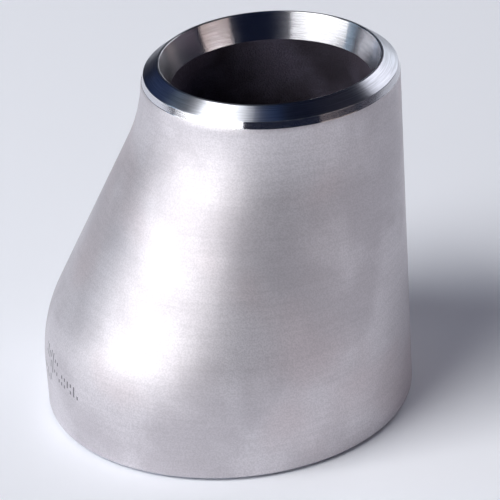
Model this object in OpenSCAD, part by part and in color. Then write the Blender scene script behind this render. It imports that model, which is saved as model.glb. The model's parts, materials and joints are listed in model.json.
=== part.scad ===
// Eccentric butt-weld reducer, 3 inch by 2 inch, schedule 40S, seamless stainless steel.
//
// One piece of formed tube. The large end stands on z = 0 with its centre on the origin, the axis
// runs up +Z, and the flat side of the fitting is at +X. Every horizontal section is a ring of two
// circles, so each short slice of the wall is a truncated cone that leans towards the flat side.

/* [Large end] */
// Outside diameter of the large end
large_od = 88.9; // [80:0.1:92]
// Wall thickness at the large end
large_wall = 5.5; // [4:0.1:8]
// Height of the straight stretch above the large end
large_straight = 12; // [8:0.5:14]
// Chamfer of the large end's outer edge, as wide as it is high
large_chamfer = 1; // [0.5:0.1:1.6]

/* [Small end] */
// Outside diameter of the small end as it is formed
small_od = 60.3; // [60.2:0.1:62]
// Wall thickness that forming leaves at the small end
small_wall = 6.7; // [6.4:0.1:6.9]
// Depth below the small end's face at which the bore turns straight
small_straight = 8; // [8:0.5:10]
// Outside diameter of the small end's turned land at its top, where the bevel starts
small_land_top_od = 59.3; // [58.5:0.1:60]
// Outside diameter of the small end's turned land at its foot, where the formed surface starts
small_land_foot_od = 60.2; // [59.4:0.1:60.3]
// Outside diameter of the root face at the small end
small_root_od = 52.8; // [51:0.1:53.2]
// Width of the flat root face at the small end
small_root_face = 0.6; // [0.4:0.1:1]

/* [Transition] */
// Length of the fitting from face to face
reducer_length = 86.5; // [84:0.5:110]
// Outside radius of the shoulder bend above the large end
shoulder_radius = 35; // [25:1:40]
// Outside radius of the neck bend below the small end
neck_radius = 44; // [30:1:48]
// How far the neck bend's end lies below the small end's face, where turning has removed it
neck_end_depth = 0.5; // [0:0.5:3]

/* [Small end turning] */
// Angle of the small end's bevel, measured from its face
bevel_angle = 36.5; // [30:0.5:40]
// Height of the turned surfaces at the small end, bevel and land together
turned_height = 4.1; // [3.4:0.1:6]
// Angle of the taper turned inside the small end's mouth, measured from the axis
taper_angle = 20.5; // [19:0.5:24]
// Depth that the taper's tool reaches, a little past where the taper meets the bore
taper_reach = 7; // [6.5:0.5:7.5]

/* [Quality] */
// Slices in each bend of the wall
bend_slices = 5; // [4:1:6]

/* [Hidden] */
$fn = 180;

large_r = large_od / 2;
large_bore_r = large_r - large_wall;
small_r = small_od / 2;
small_bore_r = small_r - small_wall;
small_land_top_r = small_land_top_od / 2;
small_land_foot_r = small_land_foot_od / 2;
small_root_r = small_root_od / 2;
small_mouth_r = small_root_r - small_root_face;

// The small end's centre, which keeps the two outside diameters level along the flat side
offset_x = large_r - small_r;
// How far the bores run past the faces, so that no cut ends on a face
clear = 1;
// Steps that the sections' heights, leans and flat side are rounded to
height_grid = 0.1;
lean_grid = 0.001;
flat_grid = 0.001;

small_bevel_height = (small_land_top_r - small_root_r) * tan(bevel_angle);

turned_bottom = reducer_length - turned_height;

// Angle of the straight flank between two bends of total radius bends, for a sideways step over a height
function flank_angle(step, height, bends) =
    atan2(height, bends - step) - acos(bends / norm([bends - step, height]));

function on_grid(x, grid) = round(x / grid) * grid;

// Heights of the sections: up a shoulder bend, and up a neck bend that is upright at height end and is
// followed as far as height stop
function section_heights(lean, shoulder, neck, end, stop) =
    let (last = asin((end - stop) / neck))
    [for (i = [0:bend_slices])
        on_grid(large_straight + shoulder * sin(lean * i / bend_slices), height_grid),
     for (i = [0:bend_slices])
        on_grid(end - neck * sin(lean + (last - lean) * i / bend_slices), height_grid)];

// Sideways step of the sloping side at height z
function slope_step(z, step, lean, shoulder, neck, end) =
    z < large_straight + shoulder * sin(lean)
        ? shoulder - sqrt(pow(shoulder, 2) - pow(z - large_straight, 2))
        : z > end - neck * sin(lean)
            ? step - neck + sqrt(pow(neck, 2) - pow(end - z, 2))
            : shoulder * (1 - cos(lean))
                + (z - large_straight - shoulder * sin(lean)) * tan(lean);

// Centres of the sections, each reached from the one below it by a lean that is on its grid
function section_centres(heights, goals, i = 0, centre = 0) =
    i == len(heights) - 1
        ? [centre]
        : let (rise = heights[i + 1] - heights[i],
               lean = on_grid((goals[i + 1] - centre) / rise, lean_grid))
            concat([centre], section_centres(heights, goals, i + 1, centre + lean * rise));

// [height, centre, radius] of each section of a wall whose flat side runs from flat_low to flat_high.
// Heights and leans are whole steps of a grid, so that each slice meets the next one exactly.
function wall_sections(flat_low, flat_high, step, shoulder, neck, end, stop) =
    let (lean = flank_angle(step, end - large_straight, shoulder + neck),
         heights = section_heights(lean, shoulder, neck, end, stop),
         flat = [for (z = heights)
             on_grid(flat_low + (flat_high - flat_low) * (z - large_straight) / (end - large_straight),
                     flat_grid)],
         goals = [for (i = [0:len(heights) - 1])
             (flat[i] - flat_low + slope_step(heights[i], step, lean, shoulder, neck, end)) / 2],
         centres = section_centres(heights, goals))
    [for (i = [0:len(heights) - 1]) [heights[i], centres[i], flat[i] - centres[i]]];

// The outside surface is level along the flat side. The bore's wall thickens towards the small end.
function outside_sections() =
    wall_sections(large_r, large_r, 2 * (large_r - small_r), shoulder_radius, neck_radius,
                  reducer_length - neck_end_depth, turned_bottom);
function bore_sections() =
    let (growth = small_wall - large_wall, end = reducer_length - small_straight)
    wall_sections(large_bore_r, large_bore_r - growth, 2 * (large_bore_r - small_bore_r) - growth,
                  shoulder_radius - large_wall, neck_radius + small_wall, end, end);

// A leaning truncated cone between two sections
module slice(low, high) {
    height = high[0] - low[0];
    lean = (high[1] - low[1]) / height;
    multmatrix([[1, 0, lean, low[1]], [0, 1, 0, 0], [0, 0, 1, low[0]], [0, 0, 0, 1]])
        cylinder(h = height, r1 = low[2], r2 = high[2]);
}

// A stack of slices with an upright cylinder of length foot below it and one of length head above it
module stack(sections, foot, head) {
    first = sections[0];
    last = sections[len(sections) - 1];
    translate([first[1], 0, first[0] - foot]) cylinder(h = foot, r = first[2]);
    for (i = [1:len(sections) - 1]) slice(sections[i - 1], sections[i]);
    translate([last[1], 0, last[0]]) cylinder(h = head, r = last[2]);
}

// What the cutting tool takes off outside the large end: a chamfer round the square-cut edge
module large_end_turning() {
    rotate_extrude()
        polygon([[large_r - large_chamfer, 0], [large_r - large_chamfer, -clear],
                 [large_r + clear, -clear], [large_r + clear, large_chamfer + clear]]);
}

// What the cutting tool takes off outside the small end: the bevel and the steep land under it
module small_end_turning() {
    top = reducer_length;
    translate([offset_x, 0, 0]) rotate_extrude()
        polygon([[small_root_r, top + clear], [small_root_r, top],
                 [small_land_top_r, top - small_bevel_height], [small_land_foot_r, turned_bottom],
                 [small_r + clear, turned_bottom], [small_r + clear, top + clear]]);
}

// What the cutting tool takes off inside the small end: a taper that narrows from the mouth into the bore
module small_end_taper() {
    slope = tan(taper_angle);
    translate([offset_x, 0, reducer_length - taper_reach])
        cylinder(h = taper_reach + clear, r1 = small_mouth_r - taper_reach * slope,
                 r2 = small_mouth_r + clear * slope);
}

// The fitting: a seamless formed shell, cut square below, bevelled and bored to a taper above
module reducer_body() {
    color([0.72, 0.71, 0.73])
        difference() {
            stack(outside_sections(), large_straight, turned_height);
            stack(bore_sections(), large_straight + clear, small_straight + clear);
            large_end_turning();
            small_end_turning();
            small_end_taper();
        }
}

reducer_body();
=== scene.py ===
"""Looks for an eccentric butt-weld reducer: a blasted stainless shell with a turned welding end.

Everything is in metres. The large end stands on z = 0 with its centre on the origin, +Z runs up
the large end's axis and the flat side is at +X.
"""
import json
from math import acos, asin, atan2, cos, hypot, pi, radians, sin, sqrt, tan

import bpy
from mathutils import Matrix, Vector


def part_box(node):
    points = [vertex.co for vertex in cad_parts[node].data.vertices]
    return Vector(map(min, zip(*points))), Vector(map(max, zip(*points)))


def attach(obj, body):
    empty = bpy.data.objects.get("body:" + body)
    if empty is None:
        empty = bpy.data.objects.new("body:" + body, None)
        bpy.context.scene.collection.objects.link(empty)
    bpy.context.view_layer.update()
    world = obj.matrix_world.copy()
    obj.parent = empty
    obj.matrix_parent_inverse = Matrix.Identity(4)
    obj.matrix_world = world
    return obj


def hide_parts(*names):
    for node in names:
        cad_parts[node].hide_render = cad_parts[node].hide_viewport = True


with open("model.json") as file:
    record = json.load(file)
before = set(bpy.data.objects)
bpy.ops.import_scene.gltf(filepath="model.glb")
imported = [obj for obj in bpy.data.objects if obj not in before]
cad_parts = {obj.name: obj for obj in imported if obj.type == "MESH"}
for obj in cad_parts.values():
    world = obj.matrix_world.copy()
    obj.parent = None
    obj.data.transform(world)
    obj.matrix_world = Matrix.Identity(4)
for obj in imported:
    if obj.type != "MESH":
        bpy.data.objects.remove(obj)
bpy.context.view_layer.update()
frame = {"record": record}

MM = 0.001
NODE = "reducer_body"
MOUNTS = {m["name"]: m for m in frame["record"]["mounts"]}

# The CAD model's own sizes
LOW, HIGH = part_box(NODE)
CENTRE = (LOW + HIGH) / 2
LENGTH = HIGH.z
LARGE_R = MOUNTS["large_end_outside"]["dims"]["r_mm"] * MM
LARGE_BORE_R = MOUNTS["large_end_bore"]["dims"]["r_mm"] * MM
LARGE_STRAIGHT = MOUNTS["large_end_bore"]["dims"]["length_mm"] * MM

# The small end, its weld preparation and the bends, as in the CAD model
SMALL_R = 30.15 * MM
SMALL_BORE_R = 23.45 * MM
SMALL_X = LARGE_R - SMALL_R
LAND_TOP_R = 29.65 * MM
LAND_FOOT_R = 30.1 * MM
ROOT_R = 26.4 * MM
MOUTH_R = 25.8 * MM
BEVEL_SLOPE = tan(radians(36.5))
LARGE_CHAMFER = 1 * MM
TURNED_HEIGHT = 4.1 * MM
TAPER_SLOPE = tan(radians(20.5))
SHOULDER_RADIUS = 35 * MM
NECK_RADIUS = 44 * MM
NECK_END_DEPTH = 0.5 * MM
BORE_STRAIGHT = 8 * MM

# Roundings of the shell's edges, the most of a side that a rounding takes, and the step at the land's foot
FOOT_EDGE = 0.15 * MM
CHAMFER_EDGE = 0.25 * MM
TURNED_EDGE = 0.12 * MM
RIM_EDGE = 0.1 * MM
STEP_EDGE = 0.02 * MM
EDGE_SHARE = 0.45
LAND_STEP = 0.04 * MM

# How finely the surface is divided
AROUND = 360
BEND_RINGS = 24
FLANK_RINGS = 12
EDGE_RINGS = 3

# The inked mark low on the sloping side, a few rows of plain ticks, MARK_COLUMNS of them to a whole turn.
# From MARK_END back towards the flat side the rows rise, by MARK_CLIMB in a whole turn. Each row: its
# lowest height at MARK_END, how tall it is, and the shares of a turn from the flat side where it starts
# and ends.
MARK_COLUMNS = 190
MARK_CLIMB = 21 * MM
MARK_END = 0.6
MARK_ROWS = [(13.3 * MM, 2.7 * MM, 0.536, MARK_END), (15.9 * MM, 2.7 * MM, 0.522, 0.556),
             (9.7 * MM, 2.7 * MM, 0.515, 0.54)]
# The shares of its column between which a tick's ink fades out, the pieces a tick is broken into, the share
# of pieces left out, the ink's strength and its colour
MARK_FADE = (0.3, 0.42)
MARK_PIECES = 3
MARK_GAPS = 0.38
MARK_STRENGTH = 0.75
MARK_INK = (0.05, 0.05, 0.06)

# Texture scales of the matt steel, in features per metre, and how much the drawing lines are flattened
PATCH_SCALE = 45
ROSE_SCALE = 32
LINE_SCALE = 70
LINE_STRETCH = (1, 1, 18)
SPECK_SCALE = 2600

# Grooves of the turned surfaces: features in a whole turn and in one LENGTH of profile, and their depth
GROOVE_STRETCH = (16, 330, 1)
GROOVE_DEPTH = 0.004 * MM

# Half the side of the table top, and the dim blue of the room round it
FLOOR = 0.75
ROOM = (0.004, 0.007, 0.022, 1)

# Camera, from the object's centre. Angles in degrees, and azimuth 0 looks along +Y. The lens is in mm, for
# a sensor of SENSOR_WIDTH mm.
CAMERA_AZIMUTH = -3.36
CAMERA_ELEVATION = 28.15
CAMERA_ROLL = -3.67
CAMERA_DISTANCE = 0.6967
CAMERA_AIM = Vector((0.0067, -0.0027, -0.00545))
CAMERA_LENS = 210.4
SENSOR_WIDTH = 36


# ---------------------------------------------------------------- shape

class Slope:
    """Sideways step of the wall's sloping side at each height: shoulder bend, straight flank, neck bend."""

    def __init__(self, step, shoulder, neck, low, high):
        self.step, self.shoulder, self.neck, self.low, self.high = step, shoulder, neck, low, high
        rise, bends = high - low, shoulder + neck
        self.lean = atan2(rise, bends - step) - acos(bends / hypot(bends - step, rise))
        self.flank_low = low + shoulder * sin(self.lean)
        self.flank_high = high - neck * sin(self.lean)

    def at(self, z):
        if z <= self.low:
            return 0.0
        if z >= self.high:
            return self.step
        if z < self.flank_low:
            return self.shoulder - sqrt(self.shoulder ** 2 - (z - self.low) ** 2)
        if z > self.flank_high:
            return self.step - self.neck + sqrt(self.neck ** 2 - (self.high - z) ** 2)
        return self.shoulder * (1 - cos(self.lean)) + (z - self.flank_low) * tan(self.lean)

    def heights(self, stop):
        last = asin((self.high - stop) / self.neck)
        bends = [i / BEND_RINGS for i in range(BEND_RINGS + 1)]
        flank = [i / FLANK_RINGS for i in range(1, FLANK_RINGS)]
        low = [self.low + self.shoulder * sin(self.lean * t) for t in bends]
        middle = [self.flank_low + (self.flank_high - self.flank_low) * t for t in flank]
        high = [self.high - self.neck * sin(self.lean + (last - self.lean) * t) for t in bends]
        return low + middle + high


def wall_rings(flat_low, flat_high, slope, stop):
    """(height, centre, radius) of each ring up a wall whose flat side runs from flat_low to flat_high."""
    rings = []
    for z in slope.heights(stop):
        flat = flat_low + (flat_high - flat_low) * (z - slope.low) / (slope.high - slope.low)
        side = -flat_low + slope.at(z)
        rings.append((z, (flat + side) / 2, (flat - side) / 2))
    return rings


def rounded(before, corner, after, radius):
    """Rings round a corner between two straight stretches, a quadratic curve of about that radius."""
    before, corner, after = Vector(before), Vector(corner), Vector(after)
    start = corner + (before - corner).normalized() * min(radius, (before - corner).length * EDGE_SHARE)
    end = corner + (after - corner).normalized() * min(radius, (after - corner).length * EDGE_SHARE)
    steps = [i / EDGE_RINGS for i in range(EDGE_RINGS + 1)]
    return [tuple(start * (1 - t) ** 2 + corner * 2 * t * (1 - t) + end * t ** 2) for t in steps]


def reducer_rings():
    """The closed run of rings, each (height, centre, radius), with the name of the zone above each."""
    outside = wall_rings(LARGE_R, LARGE_R,
                         Slope(2 * (LARGE_R - SMALL_R), SHOULDER_RADIUS, NECK_RADIUS,
                               LARGE_STRAIGHT, LENGTH - NECK_END_DEPTH),
                         LENGTH - TURNED_HEIGHT)
    growth = (LARGE_R - LARGE_BORE_R) - (SMALL_R - SMALL_BORE_R)
    bore_high = LENGTH - BORE_STRAIGHT
    bore = wall_rings(LARGE_BORE_R, LARGE_BORE_R + growth,
                      Slope(2 * (LARGE_BORE_R - SMALL_BORE_R) + growth,
                            SHOULDER_RADIUS - (LARGE_R - LARGE_BORE_R),
                            NECK_RADIUS + SMALL_R - SMALL_BORE_R, LARGE_STRAIGHT, bore_high),
                      bore_high)
    bevel_low = LENGTH - (LAND_TOP_R - ROOT_R) * BEVEL_SLOPE
    rim = LENGTH - (MOUTH_R - SMALL_BORE_R) / TAPER_SLOPE
    turned_low = LENGTH - TURNED_HEIGHT
    # (ring, radius of its edge, zone that starts at it): out over the large end, up, and down the bore
    corners = [
        ((0, 0, LARGE_BORE_R), FOOT_EDGE, "bevel"),
        ((0, 0, LARGE_R - LARGE_CHAMFER), FOOT_EDGE, "bevel"),
        ((LARGE_CHAMFER, 0, LARGE_R), CHAMFER_EDGE, "blasted"),
        *[(ring, 0, "blasted") for ring in outside[:-1]],
        ((turned_low, SMALL_X, LAND_FOOT_R + LAND_STEP), STEP_EDGE, "land"),
        ((turned_low, SMALL_X, LAND_FOOT_R), TURNED_EDGE, "land"),
        ((bevel_low, SMALL_X, LAND_TOP_R), TURNED_EDGE, "bevel"),
        ((LENGTH, SMALL_X, ROOT_R), TURNED_EDGE, "bevel"),
        ((LENGTH, SMALL_X, MOUTH_R), TURNED_EDGE, "taper"),
        ((rim, SMALL_X, SMALL_BORE_R), RIM_EDGE, "bore"),
        *[(ring, 0, "bore") for ring in reversed(bore)],
    ]
    rings, zones = [], []
    for i, (ring, radius, zone) in enumerate(corners):
        before, after = corners[i - 1][0], corners[(i + 1) % len(corners)][0]
        made = rounded(before, ring, after, radius) if radius else [ring]
        rings += made
        zones += [zone] * len(made)
    return rings, zones


def mesh_object(name, vertices, faces):
    mesh = bpy.data.meshes.new(name)
    mesh.from_pydata(vertices, [], faces)
    mesh.update()
    obj = bpy.data.objects.new(name, mesh)
    bpy.context.scene.collection.objects.link(obj)
    return obj


def reducer_shell(materials):
    """The fitting as one closed surface, its UVs running round the fitting and along the profile."""
    rings, zones = reducer_rings()
    count = len(rings)
    vertices = [(centre + radius * cos(2 * pi * k / AROUND), radius * sin(2 * pi * k / AROUND), z)
                for z, centre, radius in rings for k in range(AROUND)]
    faces = [(i * AROUND + k, i * AROUND + (k + 1) % AROUND,
              (i + 1) % count * AROUND + (k + 1) % AROUND, (i + 1) % count * AROUND + k)
             for i in range(count) for k in range(AROUND)]
    obj = mesh_object("reducer_shell", vertices, faces)
    along = [0.0]
    for i in range(count):
        here, there = rings[i], rings[(i + 1) % count]
        along.append(along[-1] + hypot(there[0] - here[0], there[2] - here[2]))
    uv = obj.data.uv_layers.new(name="wrap")
    slots = list(materials)
    for slot in slots:
        obj.data.materials.append(materials[slot])
    for face in obj.data.polygons:
        i, k = divmod(face.index, AROUND)
        face.use_smooth = True
        face.material_index = slots.index(zones[i])
        corners = ((k, i), (k + 1, i), (k + 1, i + 1), (k, i + 1))
        for loop, (across, up) in zip(face.loop_indices, corners):
            uv.data[loop].uv = (across / AROUND, along[up] / LENGTH)
    normals = obj.modifiers.new("flat faces keep their normals", "WEIGHTED_NORMAL")
    normals.keep_sharp = True
    return obj


# ---------------------------------------------------------------- materials

class Shader:
    """A material's node tree with one Principled shader, and short ways to add to it."""

    def __init__(self, name):
        self.material = bpy.data.materials.new(name)
        self.material.use_nodes = True
        self.tree = self.material.node_tree
        self.tree.nodes.clear()
        self.bsdf = self.add("ShaderNodeBsdfPrincipled")
        self.link(self.bsdf.outputs["BSDF"], self.add("ShaderNodeOutputMaterial").inputs["Surface"])
        self.where = self.add("ShaderNodeTexCoord").outputs["Object"]

    def wrap(self):
        """The shell's own UVs: shares of a turn from the flat side, and lengths along the profile."""
        return self.add("ShaderNodeUVMap", uv_map="wrap").outputs["UV"]

    def add(self, kind, **settings):
        node = self.tree.nodes.new(kind)
        for key, value in settings.items():
            setattr(node, key, value)
        return node

    def link(self, source, target):
        self.tree.links.new(source, target)

    def put(self, value, socket):
        if isinstance(value, bpy.types.NodeSocket):
            self.link(value, socket)
        else:
            socket.default_value = value

    def math(self, operation, a, b=0.0):
        node = self.add("ShaderNodeMath", operation=operation)
        self.put(a, node.inputs[0])
        self.put(b, node.inputs[1])
        return node.outputs[0]

    def parts(self, vector):
        node = self.add("ShaderNodeSeparateXYZ")
        self.link(vector, node.inputs[0])
        return node.outputs

    def stretched(self, vector, scale):
        node = self.add("ShaderNodeVectorMath", operation="MULTIPLY")
        self.put(vector, node.inputs[0])
        node.inputs[1].default_value = scale
        return node.outputs[0]

    def noise(self, vector, scale, detail=2.0, roughness=0.5):
        node = self.add("ShaderNodeTexNoise")
        self.put(vector, node.inputs["Vector"])
        node.inputs["Scale"].default_value = scale
        node.inputs["Detail"].default_value = detail
        node.inputs["Roughness"].default_value = roughness
        return node.outputs["Fac"]

    def span(self, value, low, high, to_low=0.0, to_high=1.0):
        """value's stretch from low to high, mapped to to_low .. to_high and held there outside it."""
        node = self.add("ShaderNodeMapRange", interpolation_type="SMOOTHSTEP")
        self.put(value, node.inputs["Value"])
        for name, number in (("From Min", low), ("From Max", high), ("To Min", to_low), ("To Max", to_high)):
            node.inputs[name].default_value = number
        return node.outputs["Result"]

    def mix(self, factor, a, b):
        node = self.add("ShaderNodeMix", data_type="RGBA")
        self.put(factor, node.inputs[0])
        for value, socket in ((a, node.inputs[6]), (b, node.inputs[7])):
            self.put(value if isinstance(value, bpy.types.NodeSocket) else (*value, 1), socket)
        return node.outputs[2]

    def bump(self, height, depth):
        node = self.add("ShaderNodeBump")
        node.inputs["Distance"].default_value = depth
        self.link(height, node.inputs["Height"])
        return node.outputs["Normal"]


def ink_mark(s):
    """How inked each point is: rows of upright ticks, each tick with some of its pieces left out."""
    u = s.parts(s.wrap())[0]
    height = s.parts(s.where)[2]
    column = s.math("MULTIPLY", u, MARK_COLUMNS)
    stroke = s.span(s.math("FRACT", column), *MARK_FADE, 1, 0)
    climb = s.math("MULTIPLY", s.math("SUBTRACT", u, MARK_END), MARK_CLIMB)
    mark = None
    for low, tall, start, end in MARK_ROWS:
        level = s.math("ADD", s.math("SUBTRACT", height, low), climb)
        piece = s.math("FLOOR", s.math("DIVIDE", level, tall / MARK_PIECES))
        chance = s.add("ShaderNodeTexWhiteNoise", noise_dimensions="2D")
        place = s.add("ShaderNodeCombineXYZ")
        s.link(s.math("FLOOR", column), place.inputs[0])
        s.link(piece, place.inputs[1])
        s.link(place.outputs[0], chance.inputs["Vector"])
        row = s.math("MULTIPLY", stroke, s.math("GREATER_THAN", chance.outputs["Value"], MARK_GAPS))
        for value, low_end, high_end in ((level, 0, tall), (u, start, end)):
            row = s.math("MULTIPLY", row, s.math("GREATER_THAN", value, low_end))
            row = s.math("MULTIPLY", row, s.math("LESS_THAN", value, high_end))
        mark = s.math("MAXIMUM", mark, row) if mark else row
    return s.math("MULTIPLY", mark, MARK_STRENGTH)


def blasted_steel(name, light, dark, rose, roughness, grain, marked=False):
    """Matt stainless, blasted or as drawn: fine grain, faint drawing lines, and broad changes of tint."""
    s = Shader(name)
    deep = tuple(0.5 * c for c in dark)
    patches = s.noise(s.where, PATCH_SCALE, 3)
    tint = s.mix(s.span(patches, 0.38, 0.62), dark, light)
    tint = s.mix(s.span(s.noise(s.where, ROSE_SCALE, 2), 0.52, 0.7, 0, 0.7), tint, rose)
    lines = s.noise(s.stretched(s.where, LINE_STRETCH), LINE_SCALE, 3)
    tint = s.mix(s.span(lines, 0.4, 0.75, 0, 0.1), tint, deep)
    speck = s.noise(s.where, SPECK_SCALE, 1)
    tint = s.mix(s.span(speck, 0.3, 0.7, 0, 0.25), tint, deep)
    if marked:
        tint = s.mix(ink_mark(s), tint, MARK_INK)
    s.link(tint, s.bsdf.inputs["Base Color"])
    s.link(s.bump(speck, grain), s.bsdf.inputs["Normal"])
    s.bsdf.inputs["Metallic"].default_value = 0.85
    s.link(s.span(patches, 0.3, 0.7, roughness + 0.02, roughness - 0.02), s.bsdf.inputs["Roughness"])
    return s.material


def turned_steel(name, colour, roughness, anisotropy, streak):
    """Turned stainless: grooves round the axis, which smear reflections across the cut but not along it."""
    s = Shader(name)
    grooves = s.noise(s.stretched(s.wrap(), GROOVE_STRETCH), 1, 3, 0.7)
    dull = tuple(0.45 * c for c in colour)
    s.link(s.mix(s.span(grooves, 0.3, 0.72, 0, streak), colour, dull), s.bsdf.inputs["Base Color"])
    s.link(s.bump(grooves, GROOVE_DEPTH), s.bsdf.inputs["Normal"])
    tangent = s.add("ShaderNodeTangent", direction_type="UV_MAP", uv_map="wrap")
    s.link(tangent.outputs["Tangent"], s.bsdf.inputs["Tangent"])
    s.bsdf.inputs["Metallic"].default_value = 1.0
    s.bsdf.inputs["Roughness"].default_value = roughness
    s.bsdf.inputs["Anisotropic"].default_value = anisotropy
    s.bsdf.inputs["Anisotropic Rotation"].default_value = 0.25
    return s.material


def finishes():
    """The shell's zones and their materials; the bore's dark colours are painted shade. The large end's cut
    face looks like the small end's bevel.
    """
    bright = (0.72, 0.72, 0.76)
    return {
        "blasted": blasted_steel("blasted_steel", light=(0.72, 0.69, 0.72), dark=(0.59, 0.56, 0.59),
                                 rose=(0.66, 0.59, 0.61), roughness=0.45, grain=0.03 * MM, marked=True),
        # The bore's colours are painted shade: far darker than the outside's steel, so the inside of the bore
        # looks dark and bounces little light.
        "bore": blasted_steel("bore_steel_painted_shade", light=(0.18, 0.16, 0.22), dark=(0.07, 0.06, 0.08),
                              rose=(0.12, 0.1, 0.13), roughness=0.9, grain=0.3 * MM),
        "land": turned_steel("land_steel", bright, roughness=0.12, anisotropy=0.8, streak=0.3),
        "bevel": turned_steel("bevel_steel", (0.55, 0.57, 0.63), roughness=0.29, anisotropy=0.88, streak=0.7),
        "taper": turned_steel("taper_steel", bright, roughness=0.24, anisotropy=0.9, streak=0.6),
    }


# ---------------------------------------------------------------- stage

def floor():
    """The pale table top."""
    corners = [(-FLOOR, -FLOOR, 0), (FLOOR, -FLOOR, 0), (FLOOR, FLOOR, 0), (-FLOOR, FLOOR, 0)]
    obj = mesh_object("floor", corners, [(0, 1, 2, 3)])
    s = Shader("pale_table")
    s.bsdf.inputs["Base Color"].default_value = (0.92, 0.94, 1, 1)
    s.bsdf.inputs["Roughness"].default_value = 0.8
    obj.data.materials.append(s.material)


def direction(azimuth, elevation):
    """Unit vector from the object, azimuth in degrees from the camera's side, positive to the right."""
    a, e = radians(azimuth), radians(elevation)
    return Vector((sin(a) * cos(e), -cos(a) * cos(e), sin(e)))


def soft_light(name, azimuth, elevation, distance, size, radiance, colour):
    """A rectangular softbox that faces the object. Radiance 1 shows a white diffuser as pure white."""
    data = bpy.data.lights.new(name, "AREA")
    data.shape = "RECTANGLE"
    data.size, data.size_y = size
    data.energy = radiance * pi * size[0] * size[1]
    data.color = colour
    lamp = bpy.data.objects.new(name, data)
    towards = direction(azimuth, elevation)
    lamp.location = CENTRE + towards * distance
    lamp.rotation_euler = towards.to_track_quat("Z", "Y").to_euler()
    bpy.context.scene.collection.objects.link(lamp)


def camera():
    """A long lens that looks down at the fitting, a little rolled."""
    azimuth, roll = radians(CAMERA_AZIMUTH), radians(CAMERA_ROLL)
    back = direction(CAMERA_AZIMUTH, CAMERA_ELEVATION)
    right = Vector((cos(azimuth), sin(azimuth), 0))
    up = back.cross(right)
    axes = Matrix((right * cos(roll) + up * sin(roll), up * cos(roll) - right * sin(roll), back))
    data = bpy.data.cameras.new("camera")
    data.lens = CAMERA_LENS
    data.sensor_width = SENSOR_WIDTH
    data.clip_start = 0.01
    obj = bpy.data.objects.new("camera", data)
    place = Matrix.Translation(CENTRE + CAMERA_AIM + back * CAMERA_DISTANCE)
    obj.matrix_world = place @ axes.transposed().to_4x4()
    bpy.context.scene.collection.objects.link(obj)
    bpy.context.scene.camera = obj


def surroundings():
    """A dim blue room, so that the turned surfaces mirror little but the softboxes and the table."""
    world = bpy.data.worlds.new("studio")
    bpy.context.scene.world = world
    world.use_nodes = True
    room = world.node_tree.nodes["Background"]
    room.inputs["Color"].default_value = ROOM
    room.inputs["Strength"].default_value = 1.0
    bpy.context.scene.view_settings.view_transform = "Standard"


# The softboxes and cards round the fitting, as (name, azimuth, elevation, distance, (width, height),
# radiance, colour). The three keys stand one above another at the left, the bottom one closer.
LIGHTS = [
    ("key_top", -66, 56, 2.5, (1.6, 0.9), 8.7, (1, 0.99, 0.97)),
    ("key_middle", -70, 35, 2.5, (1.6, 0.8), 3.6, (0.98, 0.99, 1)),
    ("key_bottom", -62, 11, 0.8, (1.03, 0.3), 3.0, (1, 1, 1)),
    ("side_strip", -103, 22, 2.5, (0.55, 0.82), 2.3, (0.6, 0.8, 1)),
    ("top_card", -15, 68, 2.5, (0.84, 0.55), 0.35, (0.1, 0.34, 1)),
    ("back_low", 150, 9, 2.5, (1.66, 0.71), 1.7, (0.93, 0.96, 1)),
    ("back_high", 134, 31, 2.5, (1.5, 1.1), 2.3, (0.97, 0.96, 1)),
    ("warm_wall", 54, 12, 2.5, (1.5, 0.32), 2.2, (1, 0.8, 0.72)),
    ("brown_wall", 92, 6, 2.5, (1.38, 0.5), 0.25, (1, 0.8, 0.9)),
    ("blue_wall", -142, 28, 2.5, (1.38, 1.1), 0.11, (0.25, 0.42, 1)),
]


def main():
    shell = reducer_shell(finishes())
    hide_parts(NODE)
    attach(shell, "root")
    floor()
    surroundings()
    for light in LIGHTS:
        soft_light(*light)
    camera()


main()
